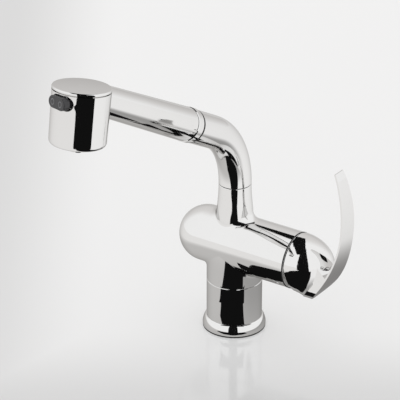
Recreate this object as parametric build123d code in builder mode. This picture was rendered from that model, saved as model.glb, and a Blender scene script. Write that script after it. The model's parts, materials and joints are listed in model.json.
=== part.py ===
"""Single-lever kitchen tap with a pull-out spray.

Frame: origin at the centre of the base on the worktop, +X along the lever's axis, -Y the way the spout
points, +Z up. Sizes are in millimetres.
"""
import os
from math import asin, cos, degrees, pi, radians, sin, sqrt, tan

from build123d import *

os.makedirs("parts", exist_ok=True)

# Clearances
FIT = 0.05            # slip fit between pieces of one body, and running fit between bodies
SEAM = 0.4            # open seam between pieces that move apart

# Base
COLUMN_R = 23.0
COLUMN_WALL = 3.0
FLANGE_OVERHANG = 3.2
FLANGE_TOP = 10.2
FLANGE_SIDE = 3.0     # height of the flange's straight edge
SHOULDER = 0.35       # roundness of the flange's shoulder
SEAL_T = 1.3
SEAL_INSET = 0.15
PLATE_T = 12.0        # thickness of the column's foot
SEAM_Z = 43.4         # seam between the column and the body
HOSE_R = 8.5
STUD_X = -14.0
STUD_Y = 9.0
STUD_R = 3.4          # tapping radius of an M8 stud hole
STUD_DEPTH = 10.0
INLET_R = 4.45        # minor radius of an M10 x 1 thread
INLET_DEPTH = 8.0
TUBE_R = 3.5
TUBE_WALL = 0.9
TUBE_SHORT = 1.0      # the tubes stop this far below the seam
PORT_X = 13.0         # hot and cold tubes
PORT_Y = 9.5
MIX_X = 16.2          # mixed-water tube
SPIGOT_LEN = 10.0     # body's spigot inside the column

# Body
AXIS_Z = 77.0         # height of the lever's axis
BARREL_R = 23.5
DOME_X = 26.8         # centre of the hemispherical end, to the left of the column
BARREL_END = 61.6
NECK_R = 13.45
NECK_Z = 129.6        # top of the neck
NECK_FOOT_R = 15.2
NECK_FOOT_Z = 96.0
NECK_FILLET = 7.0
BODY_FILLET = 4.0
SEAM_BEVEL = 0.35     # bevel on each side of a seam
RIM = 0.6             # bevel on each side of the hub's seam
PASSAGE_R = 9.2

# Cartridge, along the lever's axis
SEAT_X = 22.0
CART_R = 17.4
CART_BASE_T = 4.5
CART_SEAL_T = 0.8
CART_SEAL_R = 15.0
CART_LEN = 28.0
CART_WALL = 2.0
PORT_R = 2.4
PORT_PITCH_Z = 4.0    # height of the hot and cold ports above the axis
MIX_DROP = 9.5        # depth of the mixed-water port below the axis
DISC_T = 4.0
DISC_GAP = 0.4
FIXED_DISC_R = 14.9
MOVING_DISC_R = 10.6
DISC_SHIFT = 2.0      # the moving disc rests this far below the axis
ROTOR_NECK_R = 11.4
ROTOR_GAP = 1.2
PIVOT_X = 45.0
PIN_R = 1.5
STEM = 8.0            # side of the square stem
STEM_END = 80.0
FINGER_R = 2.8
FINGER_X = 33.0       # tip of the stem's finger in the moving disc
SLOT_HALF = 8.0
NUT_LEN = 6.5
NUT_BORE_R = 12.6
NUT_KEY = 4.0
BONNET_R = 26.0       # spherical, about the stem's pivot
BONNET_T = 2.0
BONNET_SEAT_R = 19.6
BONNET_MOUTH_R = 13.6

# Lever
HUB_X = 62.0
HUB_LEN = 31.5        # length of the domed hub if it were a full half ellipsoid
LEVER_TILT_DEG = 14.0 # opening of the lever
RELIEF_RISE = 6.0     # the slit under the hub starts this far above the axis
HUB_POINTS = 24
HUB_SHARES = (0, 0.06, 0.2, 0.36, 0.52, 0.66, 0.78, 0.88, 0.95, 0.985)
BLADE_REACH = 107.7   # outermost point of the blade
BLADE_Z = 121.7       # centre of the blade's arc
BLADE_R = 107.5
BLADE_T = 1.5
ROOT_T = 6.5
TIP_Z = 165.5
BLADE_FOOT_Z = 50.8
CHANNEL_Z = 76.3      # bottom of the groove between the hub and the blade
CHANNEL_X = 84.0
CHANNEL_TOP_Z = 85.2
ROOT_TOP_Z = 68.0
TIP_HALF = 4.8
BLADE_HALF = ((7.3, 150.3), (8.5, 134.0), (9.2, 117.0), (10.2, 100.0), (12.3, 85.0), (15.3, 71.0))
FOOT_HALF = 17.3
FOOT_Z = 62.5
FOOT_ARC = ((15.6, 56.4), (9.0, 52.2))
HUB_CLEAR = 1.0       # radial gap between the bonnet and the hub's hollow
GRUB_X = 76.0
GRUB_R = 2.5
GRUB_LEN = 8.0
GRUB_HEX = 2.5
PLUG_R = 3.2
PLUG_LEN = 4.0

# Swivel
SWIVEL_R = 11.45
SWIVEL_BORE_R = 8.6
SWIVEL_DEPTH = 25.0
SWIVEL_LIFT = 6.0
RING_SECTION = 0.7
RING_DROPS = (11.0, 18.0)
GROOVE_W = 1.8
SCREW_DROP = 5.5
SCREW_R = 2.0
SCREW_TIP_R = 10.4
STOP_DEG = 70.0
STOP_DEPTH = 1.3
WASHER_T = 0.6
WASHER_W = 1.2

# Spout
SPOUT_R = 13.45
SPOUT_WALL = 1.25
BEND_LEAD = 0.6       # straight length above the swivel seam
TILT_DEG = 28.8       # rise of the handset above level
AIM_Z = 169.0         # height where the handset's axis meets the column's
DOCK_START = 73.3
DOCK_END = 81.4
DOCK_R = 14.0
DOCK_BORE_R = 10.6
DOCK_DEPTH = 24.0
DOCK_EDGE = 0.6
DOCK_GROOVE = 0.6     # groove between the spout tube and the ring
DOCK_GAP = 0.7        # gap between the ring and the handle
KEY_DEG = -14.0       # place of the ring's locating tongue, round from +X
KEY_W = 2.2
KEY_H = 1.0
KEY_LEN = 5.0

# Handset, along the dock's axis
HANDLE_R = 13.7
HANDLE_TIP_R = 11.5
HEAD_AT = 228.9       # distance along the axis from the column's axis to the drum's
SPIGOT_AT = 57.0
HANDLE_BORE_R = 8.5
NIPPLE_R = 8.4
NIPPLE_AT = 55.0
NIPPLE_LEN = 17.0
HOSE_THREAD_R = 5.4
HOSE_THREAD_LEN = 10.0
WATER_R = 6.0
WATER_WALL = 1.2
WATER_END = 16.0      # the waterway stops this far short of the drum's axis
CHECK_LEN = 9.0
CHECK_BORE_R = 2.6
CHECK_SET = 4.0

# Drum, along its own leaning axis
LEAN_DEG = 9.3
DRUM_TOP = 6.3
DRUM_DROP = 38.0
DRUM_TOP_R = 22.05
DRUM_FOOT_R = 21.5
DRUM_FOOT_EDGE = 3.6
DRUM_WALL = 2.2
CAP_T = 1.9
CAP_EDGE = 1.0
CAP_CROWN = 0.8       # rise of the cap's middle above its rim
CAP_LINE = 0.9        # shadow gap under the cap's rim
CAP_SKIRT = 1.4
CAP_SKIRT_WALL = 1.5
BLOCK_R = 16.5
BLOCK_FOOT = -26.0
BLOCK_FACE = 13.2     # flat on the block's front, from the drum's axis
OUTLET_R = 4.0
SPRAY_T = 4.0
SPRAY_INSET = 0.4
SPRAY_HOLE_R = 0.7
SPRAY_HOLES = 20
SPRAY_PITCH_R = 14.0
NOZZLE_R = 6.4
NOZZLE_DROP = 4.4
NOZZLE_FLANGE_R = 8.5
NOZZLE_FLANGE_T = 2.0
NOZZLE_BORE_R = 5.2
SCREEN_T = 1.2
SCREEN_HOLE_R = 0.7
SCREEN_PITCH = 2.3
SCREEN_ROWS = 3

# Rocker button on the drum's front
BUTTON_W = 18.6
BUTTON_H = 9.4
BUTTON_DOWN = 9.0     # button's centre below the drum's top
BUTTON_PROUD = 3.6
BUTTON_TURN_DEG = 4.2 # turned to the left about the drum's axis
BUTTON_GAP = 0.8
BUTTON_EDGE = 0.8
BUTTON_BACK = 2.6     # depth of the button's body behind the pivot
ROCK_DEG = 11.0       # lean to each side
ROCKER_SET = 4.05     # pivot, behind the drum's front
ROCKER_PIN_R = 1.0
WAIST_W = 12.0        # button's waist, between the lugs
WAIST_H = 6.0
HEAD_SET = 2.4        # back of the button's head, in front of the pivot
LUG_T = 1.6
LUG_W = 5.0
LUG_FRONT = 1.5
TAIL_W = 2.4
TAIL_H = 3.0
BALL_REACH = 9.0      # diverter ball's centre, behind the pivot
BALL_R = 2.7
PEG = 1.6             # side of the peg that holds the ball
SEAT_R = 1.6          # ports that the ball closes

# Derived sizes and planes
TILT = radians(TILT_DEG)
LEAN = radians(LEAN_DEG)
AIM = Vector(0, -cos(TILT), sin(TILT))
AIM_START = Vector(0, 0, AIM_Z)
DRUM_AXIS = Vector(0, sin(LEAN), cos(LEAN))
DRUM_FRONT = Vector(0, -cos(LEAN), sin(LEAN))
DRUM_AT = AIM_START + AIM * HEAD_AT
BUTTON_TURN = radians(BUTTON_TURN_DEG)
BUTTON_FRONT = DRUM_FRONT * cos(BUTTON_TURN) - Vector(1, 0, 0) * sin(BUTTON_TURN)
BUTTON_ACROSS = Vector(1, 0, 0) * cos(BUTTON_TURN) + DRUM_FRONT * sin(BUTTON_TURN)
BLADE_X = BLADE_REACH - BLADE_R
FLANGE_R = COLUMN_R + FLANGE_OVERHANG
COLUMN_BORE_R = COLUMN_R - COLUMN_WALL
CART_BORE_R = CART_R + FIT
CART_X = SEAT_X + CART_BASE_T
CART_END = CART_X + CART_LEN
CART_IN_R = CART_R - CART_WALL
FIXED_X = CART_X + DISC_GAP
MOVING_X = FIXED_X + DISC_T + FIT
ROTOR_X = MOVING_X + DISC_T + ROTOR_GAP
NUT_X = CART_END + FIT
NUT_END = NUT_X + NUT_LEN
PORTS = ((-PORT_Y, PORT_PITCH_Z), (PORT_Y, PORT_PITCH_Z), (0, -MIX_DROP))
TUBES = ((PORT_X, -PORT_Y), (PORT_X, PORT_Y), (MIX_X, 0))
TUBE_FOOT = INLET_DEPTH + FIT
TUBE_TOP = SEAM_Z - TUBE_SHORT
BODY_FOOT = SEAM_Z - SPIGOT_LEN
NECK_MID_Z = (NECK_FOOT_Z + NECK_Z) / 2
SPOUT_BORE_R = SPOUT_R - SPOUT_WALL
NECK_BORE_R = SWIVEL_R + FIT
SPOUT_Z = NECK_Z + SEAM
BEND_T = AIM_Z - SPOUT_Z - BEND_LEAD
BEND_R = BEND_T / tan((pi / 2 - TILT) / 2)
DOCK_BODY_R = SPOUT_BORE_R - FIT
CAP_FOOT = DRUM_TOP - CAP_T
SHELL_TOP = CAP_FOOT - CAP_LINE
DRUM_BORE_R = DRUM_FOOT_R - DRUM_WALL
BUTTON_AT = DRUM_TOP - BUTTON_DOWN
ROCKER_AT = DRUM_TOP_R - ROCKER_SET
BUTTON_FACE = ROCKER_SET + BUTTON_PROUD
ROCKER_CENTRE = DRUM_AT + DRUM_AXIS * BUTTON_AT + BUTTON_FRONT * ROCKER_AT
BALL_AT = ROCKER_AT - BALL_REACH
BALL_SWING = BALL_REACH * sin(radians(ROCK_DEG))
LUG_AT = (WAIST_H + LUG_T) / 2 + SEAM
BLOCK_TOP = BUTTON_AT + LUG_AT + LUG_T / 2
ROCKER_PIN_LEN = 2 * LUG_AT + LUG_T

BARREL = Plane(origin=(0, 0, AXIS_Z), x_dir=(1, 0, 0), z_dir=(0, -1, 0))
BARREL_AXIS = Axis((0, 0, AXIS_Z), (1, 0, 0))
HANDLE = Plane(origin=AIM_START, x_dir=AIM, z_dir=(-1, 0, 0))
HANDLE_AXIS = Axis(AIM_START, AIM)
DRUM = Plane(origin=DRUM_AT, x_dir=(1, 0, 0), z_dir=DRUM_FRONT)
DRUM_LINE = Axis(DRUM_AT, DRUM_AXIS)


def across(x):
    """Plane square to the lever's axis at x, with local x along Y and local y up from the axis."""
    return Plane(origin=(x, 0, AXIS_Z), x_dir=(0, 1, 0), z_dir=(1, 0, 0))


def along(distance):
    """Plane square to the handset's axis at a distance from the column, with local x along X."""
    return Plane(origin=AIM_START + AIM * distance, x_dir=(1, 0, 0), z_dir=AIM)


def level(height):
    """Plane square to the drum's axis at a height, with local x across the button, local y to the back."""
    return Plane(origin=DRUM_AT + DRUM_AXIS * height, x_dir=BUTTON_ACROSS, z_dir=DRUM_AXIS)


def facing(depth, height):
    """Plane that faces the button, at a depth from the drum's axis and a height."""
    centre = DRUM_AT + DRUM_AXIS * height + BUTTON_FRONT * depth
    return Plane(origin=centre, x_dir=BUTTON_ACROSS, z_dir=BUTTON_FRONT)


def save(block, name):
    """Name a finished piece and write its file."""
    block.part.label = name
    export_step(block.part, "parts/" + name + ".step")


# Base seal
with BuildPart() as base_seal:
    with BuildSketch(Plane.XY):
        Circle(FLANGE_R - SEAL_INSET)
        Circle(COLUMN_R + FIT, mode=Mode.SUBTRACT)
    extrude(amount=SEAL_T)
save(base_seal, "base_seal")

# Base flange, with a rounded shoulder
SHOULDER_RISE = (FLANGE_TOP - FLANGE_SIDE) * SHOULDER
with BuildPart() as base_flange:
    with BuildSketch(Plane.XZ):
        with BuildLine():
            Polyline(
                (COLUMN_R + FIT, FLANGE_TOP),
                (COLUMN_R + FIT, SEAL_T),
                (FLANGE_R, SEAL_T),
                (FLANGE_R, FLANGE_SIDE),
            )
            Bezier(
                (FLANGE_R, FLANGE_SIDE),
                (FLANGE_R, FLANGE_SIDE + SHOULDER_RISE),
                (FLANGE_R - FLANGE_OVERHANG * (1 - SHOULDER), FLANGE_TOP),
                (COLUMN_R + FIT, FLANGE_TOP),
            )
        make_face()
    revolve(axis=Axis.Z)
save(base_flange, "base_flange")

# Base column, with a thick foot that takes the inlets, the studs and the hose
with BuildPart() as base_column:
    with BuildSketch(Plane.XY):
        Circle(COLUMN_R)
    extrude(amount=SEAM_Z - FIT)
    with BuildSketch(Plane.XY.offset(PLATE_T)):
        Circle(COLUMN_BORE_R)
    extrude(amount=SEAM_Z, mode=Mode.SUBTRACT)
    with BuildSketch(Plane.XY):
        Circle(HOSE_R)
    extrude(amount=PLATE_T, mode=Mode.SUBTRACT)
    with BuildSketch(Plane.XY):
        with Locations((STUD_X, STUD_Y), (STUD_X, -STUD_Y)):
            Circle(STUD_R)
    extrude(amount=STUD_DEPTH, mode=Mode.SUBTRACT)
    with BuildSketch(Plane.XY):
        with Locations(*TUBES):
            Circle(INLET_R)
    extrude(amount=INLET_DEPTH, mode=Mode.SUBTRACT)
    with BuildSketch(Plane.XY):
        with Locations(*TUBES):
            Circle(TUBE_R + FIT)
    extrude(amount=PLATE_T, mode=Mode.SUBTRACT)
    chamfer(base_column.edges().group_by(Axis.Z)[-1].sort_by(SortBy.LENGTH)[-1], SEAM_BEVEL)
save(base_column, "base_column")

# Water tubes between the foot and the body
for tube_name, tube_at in zip(("tube_hot", "tube_cold", "tube_mixed"), TUBES):
    with BuildPart() as tube:
        with BuildSketch(Plane.XY.offset(TUBE_FOOT)):
            with Locations(tube_at):
                Circle(TUBE_R)
                Circle(TUBE_R - TUBE_WALL, mode=Mode.SUBTRACT)
        extrude(amount=TUBE_TOP - TUBE_FOOT)
    save(tube, tube_name)

# Mixer body: barrel, column and neck blended into one casting
with BuildPart() as mixer_body:
    with BuildSketch(BARREL):
        with BuildLine():
            Line((-DOME_X - BARREL_R, 0), (BARREL_END, 0))
            Line((BARREL_END, 0), (BARREL_END, BARREL_R))
            Line((BARREL_END, BARREL_R), (-DOME_X, BARREL_R))
            RadiusArc((-DOME_X, BARREL_R), (-DOME_X - BARREL_R, 0), -BARREL_R)
        make_face()
    revolve(axis=BARREL_AXIS)
    chamfer(mixer_body.edges().filter_by(GeomType.CIRCLE).group_by(Axis.X)[-1], RIM)
    with BuildSketch(Plane.XY.offset(SEAM_Z)):
        Circle(COLUMN_R)
    extrude(amount=AXIS_Z - SEAM_Z)
    fillet(mixer_body.edges(Select.NEW), BODY_FILLET)
    chamfer(mixer_body.edges().filter_by(GeomType.CIRCLE).group_by(Axis.Z)[0], SEAM_BEVEL)
    with BuildSketch(Plane.XZ):
        with BuildLine():
            Polyline(
                (NECK_R, NECK_Z), (0, NECK_Z), (0, AXIS_Z), (NECK_FOOT_R, AXIS_Z), (NECK_FOOT_R, NECK_FOOT_Z)
            )
            Bezier(
                (NECK_FOOT_R, NECK_FOOT_Z), (NECK_FOOT_R, NECK_MID_Z), (NECK_R, NECK_MID_Z), (NECK_R, NECK_Z)
            )
        make_face()
    revolve(axis=Axis.Z)
    fillet(mixer_body.edges(Select.NEW), NECK_FILLET)
    chamfer(mixer_body.edges().filter_by(GeomType.CIRCLE).group_by(Axis.Z)[-1], SEAM_BEVEL)
    with BuildSketch(Plane.XY.offset(BODY_FOOT)):
        Circle(COLUMN_BORE_R - FIT)
    extrude(amount=SPIGOT_LEN)
    with BuildSketch(Plane.XY.offset(BODY_FOOT)):
        Circle(PASSAGE_R)
    extrude(amount=NECK_Z - BODY_FOOT, mode=Mode.SUBTRACT)
    with BuildSketch(Plane.XY.offset(NECK_Z - SWIVEL_DEPTH - SEAM)):
        Circle(NECK_BORE_R)
    extrude(amount=NECK_Z, mode=Mode.SUBTRACT)
    with BuildSketch(Plane.XY.offset(NECK_Z - WASHER_T)):
        Circle(NECK_BORE_R + WASHER_W)
    extrude(amount=WASHER_T, mode=Mode.SUBTRACT)
    with BuildSketch(across(SEAT_X)):
        Circle(CART_BORE_R)
    extrude(amount=BARREL_END, mode=Mode.SUBTRACT)
    with BuildSketch(across(NUT_END)):
        Circle(BONNET_SEAT_R + FIT)
    extrude(amount=BARREL_END, mode=Mode.SUBTRACT)
    for port, tube_at in zip(PORTS, TUBES):
        with BuildSketch(across(tube_at[0])):
            with Locations(port):
                Circle(PORT_R)
        extrude(amount=SEAT_X - tube_at[0], mode=Mode.SUBTRACT)
        with BuildSketch(Plane.XY.offset(BODY_FOOT)):
            with Locations(tube_at):
                Circle(TUBE_R - TUBE_WALL)
        extrude(amount=AXIS_Z + port[1] + PORT_R - BODY_FOOT, mode=Mode.SUBTRACT)
    with BuildSketch(Plane.XY.offset(BODY_FOOT)):
        with Locations(*TUBES):
            Circle(TUBE_R + FIT)
    extrude(amount=TUBE_TOP + FIT - BODY_FOOT, mode=Mode.SUBTRACT)
    with BuildSketch(Plane(origin=(0, 0, NECK_Z - SCREW_DROP), x_dir=(-1, 0, 0), z_dir=(0, 1, 0))):
        Circle(SCREW_R + FIT)
    extrude(amount=NECK_FOOT_R, mode=Mode.SUBTRACT)
save(mixer_body, "mixer_body")

# Cartridge seal
with BuildPart() as cartridge_seal:
    with BuildSketch(across(SEAT_X)):
        Circle(CART_SEAL_R)
        with Locations(*PORTS):
            Circle(PORT_R, mode=Mode.SUBTRACT)
    extrude(amount=CART_SEAL_T)
save(cartridge_seal, "cartridge_seal")

# Cartridge base
with BuildPart() as cartridge_base:
    with BuildSketch(across(SEAT_X)):
        Circle(CART_R)
    extrude(amount=CART_BASE_T - FIT)
    with BuildSketch(across(SEAT_X)):
        Circle(CART_SEAL_R + FIT)
    extrude(amount=CART_SEAL_T, mode=Mode.SUBTRACT)
    with BuildSketch(across(SEAT_X)):
        with Locations(*PORTS):
            Circle(PORT_R)
    extrude(amount=CART_BASE_T, mode=Mode.SUBTRACT)
save(cartridge_base, "cartridge_base")

# Cartridge housing
with BuildPart() as cartridge_housing:
    with BuildSketch(across(CART_X)):
        Circle(CART_R)
    extrude(amount=CART_LEN)
    with BuildSketch(across(CART_X)):
        Circle(CART_IN_R)
    extrude(amount=CART_LEN - CART_WALL, mode=Mode.SUBTRACT)
    with BuildSketch(across(CART_X)):
        Circle(ROTOR_NECK_R + FIT)
    extrude(amount=CART_LEN, mode=Mode.SUBTRACT)
save(cartridge_housing, "cartridge_housing")

# Fixed ceramic disc
with BuildPart() as fixed_disc:
    with BuildSketch(across(FIXED_X)):
        Circle(FIXED_DISC_R)
        with Locations(*PORTS):
            Circle(PORT_R, mode=Mode.SUBTRACT)
    extrude(amount=DISC_T)
save(fixed_disc, "fixed_disc")

# Moving ceramic disc, with a socket for the stem's finger
with BuildPart() as moving_disc:
    with BuildSketch(across(MOVING_X)):
        with Locations((0, -DISC_SHIFT)):
            Circle(MOVING_DISC_R)
    extrude(amount=DISC_T)
    with BuildSketch(across(FINGER_X - SEAM)):
        Circle(FINGER_R + SEAM)
    extrude(amount=DISC_T, mode=Mode.SUBTRACT)
save(moving_disc, "moving_disc")

# Cartridge rotor, slotted for the stem
with BuildPart() as rotor:
    with BuildSketch(across(ROTOR_X)):
        Circle(CART_IN_R - FIT)
    extrude(amount=CART_END - CART_WALL - SEAM - ROTOR_X)
    with BuildSketch(across(ROTOR_X)):
        Circle(ROTOR_NECK_R)
    extrude(amount=CART_END - ROTOR_X)
    with BuildSketch(across(ROTOR_X)):
        Rectangle(STEM + 2 * SEAM, 2 * SLOT_HALF)
    extrude(amount=CART_LEN, mode=Mode.SUBTRACT)
    with BuildSketch(Plane(origin=(PIVOT_X, 0, AXIS_Z), x_dir=(1, 0, 0), z_dir=(0, 1, 0))):
        Circle(PIN_R + FIT)
    extrude(amount=CART_R, both=True, mode=Mode.SUBTRACT)
save(rotor, "rotor")

# Pivot pin through the rotor and the stem
PIN_HALF = sqrt((CART_IN_R - FIT) ** 2 - PIN_R ** 2) - SEAM
with BuildPart() as pivot_pin:
    with BuildSketch(Plane(origin=(PIVOT_X, 0, AXIS_Z), x_dir=(1, 0, 0), z_dir=(0, 1, 0))):
        Circle(PIN_R)
    extrude(amount=PIN_HALF, both=True)
save(pivot_pin, "pivot_pin")

# Lever stem
with BuildPart() as lever_stem:
    with BuildSketch(across(PIVOT_X - STEM / 2)):
        Rectangle(STEM, STEM)
    extrude(amount=STEM_END - PIVOT_X + STEM / 2)
    with BuildSketch(BARREL):
        with BuildLine():
            Line((FINGER_X, 0), (PIVOT_X, 0))
            Line((PIVOT_X, 0), (PIVOT_X, FINGER_R))
            Line((PIVOT_X, FINGER_R), (FINGER_X + FINGER_R, FINGER_R))
            RadiusArc((FINGER_X + FINGER_R, FINGER_R), (FINGER_X, 0), -FINGER_R)
        make_face()
    revolve(axis=BARREL_AXIS)
    with BuildSketch(Plane(origin=(PIVOT_X, 0, AXIS_Z), x_dir=(1, 0, 0), z_dir=(0, 1, 0))):
        Circle(PIN_R + FIT)
    extrude(amount=STEM, both=True, mode=Mode.SUBTRACT)
save(lever_stem, "lever_stem")

# Cartridge nut, with a key slot across its face
with BuildPart() as cartridge_nut:
    with BuildSketch(across(NUT_X)):
        Circle(CART_R)
        Circle(NUT_BORE_R, mode=Mode.SUBTRACT)
    extrude(amount=NUT_LEN - FIT)
    with BuildSketch(across(NUT_END)):
        Rectangle(2 * CART_R, NUT_KEY)
    extrude(amount=-NUT_KEY / 2, mode=Mode.SUBTRACT)
save(cartridge_nut, "cartridge_nut")

# Bonnet: a spherical cover about the stem's pivot
BONNET_FOOT = NUT_END + FIT
BONNET_MOUTH_X = PIVOT_X + sqrt(BONNET_R ** 2 - BONNET_MOUTH_R ** 2)
BONNET_IN_R = BONNET_R - BONNET_T
BONNET_LIP_X = PIVOT_X + sqrt(BONNET_IN_R ** 2 - BONNET_MOUTH_R ** 2)
BONNET_EDGE_X = PIVOT_X + sqrt(BONNET_R ** 2 - BONNET_SEAT_R ** 2)
BONNET_BORE_R = sqrt(BONNET_IN_R ** 2 - (BARREL_END - PIVOT_X) ** 2)
with BuildPart() as bonnet:
    with BuildSketch(BARREL):
        with BuildLine():
            Polyline((BARREL_END, BONNET_BORE_R), (BONNET_FOOT, BONNET_BORE_R), (BONNET_FOOT, BONNET_SEAT_R),
                     (BONNET_EDGE_X, BONNET_SEAT_R))
            RadiusArc((BONNET_EDGE_X, BONNET_SEAT_R), (BONNET_MOUTH_X, BONNET_MOUTH_R), BONNET_R)
            Line((BONNET_MOUTH_X, BONNET_MOUTH_R), (BONNET_LIP_X, BONNET_MOUTH_R))
            RadiusArc((BONNET_LIP_X, BONNET_MOUTH_R), (BARREL_END, BONNET_BORE_R), -BONNET_IN_R)
        make_face()
    revolve(axis=BARREL_AXIS)
save(bonnet, "bonnet")


def blade_angle(height, radius):
    """Angle on the blade's arc at a height."""
    return asin((height - BLADE_Z) / radius)


def blade_point(radius, angle):
    """Point of the blade's side view."""
    return (BLADE_X + radius * cos(angle), BLADE_Z + radius * sin(angle))


# Lever blade: a curved strip with a thick root, trimmed to its outline as seen from the end
BLADE_IN_R = BLADE_R - BLADE_T
ROOT_R = BLADE_R - ROOT_T
TIP_ANGLE = blade_angle(TIP_Z, BLADE_R)
FOOT_ANGLE = blade_angle(BLADE_FOOT_Z - ROOT_T, BLADE_R)
CHANNEL_ANGLE = blade_angle(CHANNEL_Z, BLADE_IN_R)
ROOT_ANGLE = blade_angle(ROOT_TOP_Z, ROOT_R)
MID_ANGLE = (TIP_ANGLE + FOOT_ANGLE) / 2
HALF_LINE = [(TIP_HALF, TIP_Z + ROOT_T)] + list(BLADE_HALF) + [(FOOT_HALF, FOOT_Z)]
FOOT_LINE = list(FOOT_ARC)
OTHER_HALF = [(-half, height) for half, height in reversed(HALF_LINE)]
OTHER_FOOT = [(-half, height) for half, height in reversed(FOOT_LINE)]
with BuildPart() as blade:
    with BuildSketch(Plane.XZ):
        with BuildLine():
            ThreePointArc(
                blade_point(BLADE_R, TIP_ANGLE),
                blade_point(BLADE_R, MID_ANGLE),
                blade_point(BLADE_R, FOOT_ANGLE),
            )
            Line(blade_point(BLADE_R, FOOT_ANGLE), blade_point(ROOT_R, FOOT_ANGLE))
            ThreePointArc(
                blade_point(ROOT_R, FOOT_ANGLE),
                blade_point(ROOT_R, (FOOT_ANGLE + ROOT_ANGLE) / 2),
                blade_point(ROOT_R, ROOT_ANGLE),
            )
            Polyline(
                blade_point(ROOT_R, ROOT_ANGLE),
                (CHANNEL_X, CHANNEL_TOP_Z),
                blade_point(BLADE_IN_R, CHANNEL_ANGLE),
            )
            ThreePointArc(
                blade_point(BLADE_IN_R, CHANNEL_ANGLE),
                blade_point(BLADE_IN_R, (CHANNEL_ANGLE + TIP_ANGLE) / 2),
                blade_point(BLADE_IN_R, TIP_ANGLE),
            )
            Line(blade_point(BLADE_IN_R, TIP_ANGLE), blade_point(BLADE_R, TIP_ANGLE))
        make_face()
    extrude(amount=BARREL_R, both=True)
    with BuildSketch(Plane(origin=(0, 0, 0), x_dir=(0, 1, 0), z_dir=(1, 0, 0))):
        with BuildLine():
            Spline(*HALF_LINE)
            Spline((FOOT_HALF, FOOT_Z), *FOOT_LINE, (0, BLADE_FOOT_Z), *OTHER_FOOT, (-FOOT_HALF, FOOT_Z))
            Spline(*OTHER_HALF)
            Line(OTHER_HALF[-1], HALF_LINE[0])
        make_face()
    extrude(amount=BLADE_X + BLADE_R + ROOT_T, mode=Mode.INTERSECT)


def hub_section(x):
    """Outline of the hub square to the lever's axis: a dome on top, flared out to the blade's foot below."""
    share = (x - HUB_X) / HUB_LEN
    dome = BARREL_R * sqrt(1 - share ** 2)
    foot_drop = AXIS_Z - BLADE_FOOT_Z - FIT
    arc_drop = AXIS_Z - BLADE_Z + sqrt((BLADE_R - HUB_CLEAR) ** 2 - (x - BLADE_X) ** 2)
    flare = min(BARREL_R + (foot_drop - BARREL_R) * min(1, 2 * share), arc_drop)
    flare = max(flare, dome)
    points = []
    for step in range(HUB_POINTS):
        turn = 2 * pi * step / HUB_POINTS
        down = max(0, -sin(turn))
        blend = down ** 2 * (3 - 2 * down)
        reach = dome + (flare - dome) * blend
        points.append((reach * cos(turn), reach * sin(turn)))
    return points


# Lever: the domed hub and the blade in one casting
GRUB_END = STEM / 2 + GRUB_LEN
RELIEF_DROP = BARREL_R + ROOT_T
LEVER_TILT = radians(LEVER_TILT_DEG)
RELIEF_REACH = (BARREL_END + SEAM - PIVOT_X + BARREL_R * sin(LEVER_TILT)) / cos(LEVER_TILT)
RELIEF_SLOPE = (RELIEF_REACH + PIVOT_X - HUB_X) / (BARREL_R + RELIEF_RISE)
with BuildPart() as lever_handle:
    for share in HUB_SHARES:
        with BuildSketch(across(HUB_X + share * HUB_LEN)):
            with BuildLine():
                Spline(*hub_section(HUB_X + share * HUB_LEN), periodic=True)
            make_face()
    loft()
    add(blade.part)
    with BuildSketch(BARREL):
        Polygon(
            (HUB_X, RELIEF_RISE), (PIVOT_X, RELIEF_RISE), (PIVOT_X, -RELIEF_DROP),
            (HUB_X + (RELIEF_DROP + RELIEF_RISE) * RELIEF_SLOPE, -RELIEF_DROP), align=None
        )
    extrude(amount=BARREL_R + ROOT_T, both=True, mode=Mode.SUBTRACT)
    with BuildSketch(BARREL):
        Polygon(
            (HUB_X, BARREL_R - RIM), (HUB_X + 2 * RIM, BARREL_R + RIM), (HUB_X, BARREL_R + RIM), align=None
        )
    revolve(axis=BARREL_AXIS, mode=Mode.SUBTRACT)
    with Locations((PIVOT_X, 0, AXIS_Z)):
        Sphere(BONNET_R + HUB_CLEAR, mode=Mode.SUBTRACT)
    with BuildSketch(across(PIVOT_X)):
        Rectangle(STEM + 2 * FIT, STEM + 2 * FIT)
    extrude(amount=STEM_END + FIT - PIVOT_X, mode=Mode.SUBTRACT)
    with BuildSketch(Plane(origin=(GRUB_X, 0, AXIS_Z), x_dir=(-1, 0, 0), z_dir=(0, 1, 0))):
        Circle(GRUB_R + FIT)
    extrude(amount=BARREL_R, mode=Mode.SUBTRACT)
    with BuildSketch(Plane(origin=(GRUB_X, GRUB_END + SEAM, AXIS_Z), x_dir=(-1, 0, 0), z_dir=(0, 1, 0))):
        Circle(PLUG_R + FIT)
    extrude(amount=BARREL_R, mode=Mode.SUBTRACT)
save(lever_handle, "lever_handle")

# Grub screw that holds the lever on the stem
with BuildPart() as grub_screw:
    with BuildSketch(Plane(origin=(GRUB_X, STEM / 2, AXIS_Z), x_dir=(-1, 0, 0), z_dir=(0, 1, 0))):
        Circle(GRUB_R)
    extrude(amount=GRUB_LEN)
    with BuildSketch(Plane(origin=(GRUB_X, GRUB_END, AXIS_Z), x_dir=(-1, 0, 0), z_dir=(0, 1, 0))):
        RegularPolygon(GRUB_HEX / 2, 6, major_radius=False)
    extrude(amount=-GRUB_HEX, mode=Mode.SUBTRACT)
save(grub_screw, "grub_screw")

# Index plug over the grub screw
PLUG_END = BARREL_R * sqrt(1 - ((GRUB_X - HUB_X) / HUB_LEN) ** 2) - SEAM
with BuildPart() as index_plug:
    with BuildSketch(Plane(origin=(GRUB_X, PLUG_END, AXIS_Z), x_dir=(-1, 0, 0), z_dir=(0, 1, 0))):
        Circle(PLUG_R)
    extrude(amount=-PLUG_LEN)
save(index_plug, "index_plug")

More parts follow.
